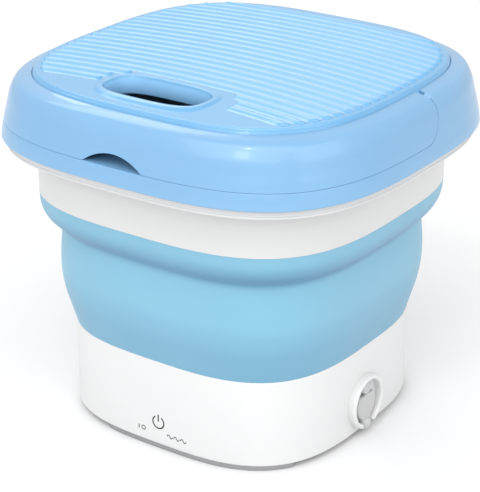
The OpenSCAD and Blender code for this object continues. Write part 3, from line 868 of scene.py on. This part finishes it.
def make_lid():
    """The lid's skin, from the slot's rim over the top and its edge back to the slot, and the ribs."""
    angles, directions = lid_columns()
    lid_ring = outline(angles)
    slot_ring = outline(directions, SLOT_POWER)

    def round_slot(grow):
        return SLOT + slot_ring * (SLOT_HALF + grow)

    def flat(xy, z):
        return np.column_stack([xy, np.full(len(xy), z)])

    def between(first, last, count):
        return [first + (last - first) * share for share in np.linspace(0, 1, count)]

    rows = [flat(round_slot([grow_x, grow_y]), z) for grow_x, grow_y, z in slot_rim()]
    foot = round_slot([5.7, 7.7])
    foot_z = skin_z(foot[:, 0], foot[:, 1])
    rows.append(np.column_stack([round_slot([5.1, 6.8]), foot_z + 0.1]))
    for xy in between(foot, lid_ring * (BORDER_HALF - 1.0), 26):
        rows.append(np.column_stack([xy, skin_z(xy[:, 0], xy[:, 1])]))
    rows += [flat(lid_ring * size, z) for size, z in lid_edge()]
    underside = between(lid_ring * (UPSTAND - WALL), round_slot([2.6, 2.6]), 8)
    rows += [flat(xy, LID_FLOOR) for xy in underside[1:-1]]
    shells = Shells()
    shells.grid(rows, wrap_rows=True, wrap_columns=True)
    for rib in rib_spans():
        add_rib(shells, *rib)
    return shells.build("washboard_lid", sharp=60)


def rib_y(first, x):
    """Y of a bowed rib at x, where first is its y at the two ends of the span."""
    return first + RIB_BOW * (1 - (x / SPAN_HALF) ** 2)


def rib_spans():
    """(first y, left x, right x) of every rib, split where the grip slot's rim stands."""
    x = np.linspace(-SPAN_HALF, SPAN_HALF, 961)
    spans = []
    for k in range(RIB_COUNT):
        first = FIRST_RIB + k * RIB_PITCH
        y = rib_y(first, x)
        slot_x, slot_y = x / RIB_KEEP_OUT[0], (y - SLOT[1]) / RIB_KEEP_OUT[1]
        off_slot = np.abs(slot_x) ** SLOT_POWER + np.abs(slot_y) ** SLOT_POWER >= 1
        clear = (size_at(x, y) < RIB_HALF) & off_slot
        edges = x[np.flatnonzero(np.diff(clear.astype(int)))]
        for left, right in zip(edges[::2], edges[1::2]):
            if right - left > RIB_SHORTEST:
                spans.append((first, left, right))
    return spans


def end_lean(first, left, right, x):
    """How far a rib's cross-section leans along X, per millimetre of Y, to end along the border."""
    end = left if x - left < right - x else right
    y = rib_y(first, end)
    if size_at(end, y) < RIB_HALF - 1:
        return 0.0
    slope = -np.sign(y) * abs(y / end) ** (SQUARENESS - 1) * np.sign(end)
    return np.clip(slope, -LEAN_MOST, LEAN_MOST) * max(0.0, 1 - abs(x - end) / LEAN_LENGTH)


def add_rib(shells, first, left, right):
    """One bowed rib with a rounded crest and blunt round ends, its underside buried in the skin."""
    thinnest, end_rise, crest_power = 0.0004, 1.25, 1.1
    cap = RIB_END_R * (1 - np.cos(np.linspace(0, math.pi / 2, 9)))
    straight = right - left - 2 * RIB_END_R
    along = left + RIB_END_R + straight * np.linspace(0, 1, 64)[1:-1]
    x = np.concatenate([left + cap, along, (right - cap)[::-1]])
    from_end = np.minimum(x - left, right - x)
    scale = np.sqrt(1 - (1 - np.clip(from_end / RIB_END_R, thinnest, 1)) ** 2)
    slope = -2 * RIB_BOW * x / SPAN_HALF**2
    normal = np.column_stack([-slope, np.ones_like(x)]) / np.sqrt(1 + slope**2)[:, None]
    across = np.linspace(-1, 1, 11)
    crown = (0.5 + 0.5 * np.cos(math.pi * across)) ** crest_power
    rings = []
    for px, s, n in zip(x, scale, normal):
        spot = np.array([px, rib_y(first, px)])
        offsets = across * s * RIB_PITCH / 2
        xy = spot + offsets[:, None] * n
        xy[:, 0] += offsets * end_lean(first, left, right, px)
        z = skin_z(xy[:, 0], xy[:, 1]) + RIB_HEIGHT * crown * min(1, s * end_rise)
        buried = np.column_stack([xy[[-1, 0]], np.full(2, skin_z(*spot) - 0.5)])
        rings.append(np.vstack([np.column_stack([xy, z]), buried]))
    shells.tube(rings)


# ---- put together ----


def paint_cad_nodes(materials):
    """Gives every CAD node the material of its slot in the record."""
    for row in frame["record"]["subparts"]:
        mesh = frame["nodes"][row["node"]].data
        mesh.materials.clear()
        mesh.materials.append(materials[row["material_slot"]])
        shade(mesh, 30)


def dress(materials):
    """Builds the visible pieces and puts each on its body in place of its CAD node."""
    pieces = [
        (make_base(), "base", ["base_shell"], "shell_white"),
        (make_feet(), "base", ["foot_rails"], "foot_rubber"),
        (make_bezel(), "base", ["drain_bezel"], "shell_white"),
        (make_anchor(), "base", ["drain_anchor"], "pale_silicone"),
        (make_flap(), "drain_flap", ["drain_flap"], "pale_silicone"),
        (make_rim(), "upper", ["rim_frame"], "rim_blue"),
        (make_handle(), "handle", ["handle"], "rim_blue"),
    ]
    for piece, body, nodes, slot in pieces:
        place(piece, body, nodes, materials[slot])
    # The collar takes the darker copy of the shell's white: painted shade under the rim.
    place(make_collar(), "upper", ["collar"], materials["shaded_shell_white"])
    place(make_lid(), "lid", ["lid_panel"], materials["lid_blue"])
    place(make_marks(), "base", [], materials["ink"])
    bellows = place(make_bellows(), "base", ["bellows"], materials["bellows_blue"])
    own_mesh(bellows)


# ---- floor, light and camera: angles in degrees, distances in metres, power in watts ----

FLOOR_HALF = 30.0
WORLD_STRENGTH = 0.83
LIT_CENTRE = (0, 0, 0.15)
LIGHTS = {
    "key_softbox": dict(azimuth=15, elevation=45, distance=2.6, power=44, width=3.2),
    "right_softbox": dict(azimuth=85, elevation=30, distance=2.6, power=15, width=2.0),
    "back_left_softbox": dict(azimuth=-112, elevation=48, distance=1.8, power=3, width=1.3, height=0.3),
    "back_strip": dict(azimuth=-138, elevation=38, distance=1.8, power=2.4, width=0.8, height=0.2),
    "front_window": dict(azimuth=15, elevation=29, distance=2.0, power=3, width=0.35, height=0.6),
    "front_spark": dict(azimuth=17, elevation=53, distance=2.0, power=2.4, width=0.12),
    "right_strip": dict(azimuth=76, elevation=32, distance=2.0, power=0.35, width=0.05, height=1.4),
}
SEEN_CENTRE = (0, 0, 0.1107)
VIEW_AZIMUTH, VIEW_ELEVATION, VIEW_DISTANCE = 34.98, 23.78, 1.1796
LENS, SENSOR, SHIFT_X = 125.64, 36.0, -0.0069


def from_angles(azimuth, elevation, distance, centre):
    """Point at a distance from a centre; azimuth 0 is in front, towards -Y."""
    a, e = math.radians(azimuth), math.radians(elevation)
    away = Vector((math.sin(a) * math.cos(e), -math.cos(a) * math.cos(e), math.sin(e)))
    return Vector(centre) + distance * away


def aim(thing, centre):
    """Turns a light or camera towards a point."""
    thing.rotation_euler = (Vector(centre) - thing.location).to_track_quat("-Z", "Y").to_euler()


def make_floor():
    """Plain pale floor."""
    mesh = bpy.data.meshes.new("floor")
    h = FLOOR_HALF
    mesh.from_pydata([(-h, -h, 0), (h, -h, 0), (h, h, 0), (-h, h, 0)], [], [(0, 1, 2, 3)])
    floor = bpy.data.objects.new("floor", mesh)
    bpy.context.scene.collection.objects.link(floor)
    mesh.materials.append(surface("floor_paper", linear(232, 232, 232), 0.9, 0.004, 0.02, 700))


def area_light(name, azimuth, elevation, distance, power, width, height=None):
    """Soft light aimed at the object, square where no height is given."""
    light = bpy.data.lights.new(name, "AREA")
    light.size = width
    if height:
        light.shape = "RECTANGLE"
        light.size_y = height
    light.energy = power
    lamp = bpy.data.objects.new(name, light)
    lamp.location = from_angles(azimuth, elevation, distance, LIT_CENTRE)
    aim(lamp, LIT_CENTRE)
    bpy.context.scene.collection.objects.link(lamp)


def make_light():
    """White surroundings and the studio lights."""
    world = bpy.data.worlds.new("studio")
    world.use_nodes = True
    background = world.node_tree.nodes["Background"]
    background.inputs["Color"].default_value = (1, 1, 1, 1)
    background.inputs["Strength"].default_value = WORLD_STRENGTH
    bpy.context.scene.world = world
    for name, settings in LIGHTS.items():
        area_light(name, **settings)
    bpy.context.scene.view_settings.view_transform = "Standard"


def make_camera():
    """Camera in front, to the right and above."""
    camera = bpy.data.objects.new("camera", bpy.data.cameras.new("camera"))
    camera.location = from_angles(VIEW_AZIMUTH, VIEW_ELEVATION, VIEW_DISTANCE, SEEN_CENTRE)
    aim(camera, SEEN_CENTRE)
    camera.data.sensor_width = SENSOR
    camera.data.lens = LENS
    camera.data.shift_x = SHIFT_X
    bpy.context.scene.collection.objects.link(camera)
    bpy.context.scene.camera = camera


make_camera()
make_light()
make_floor()
materials = make_materials()
paint_cad_nodes(materials)
dress(materials)
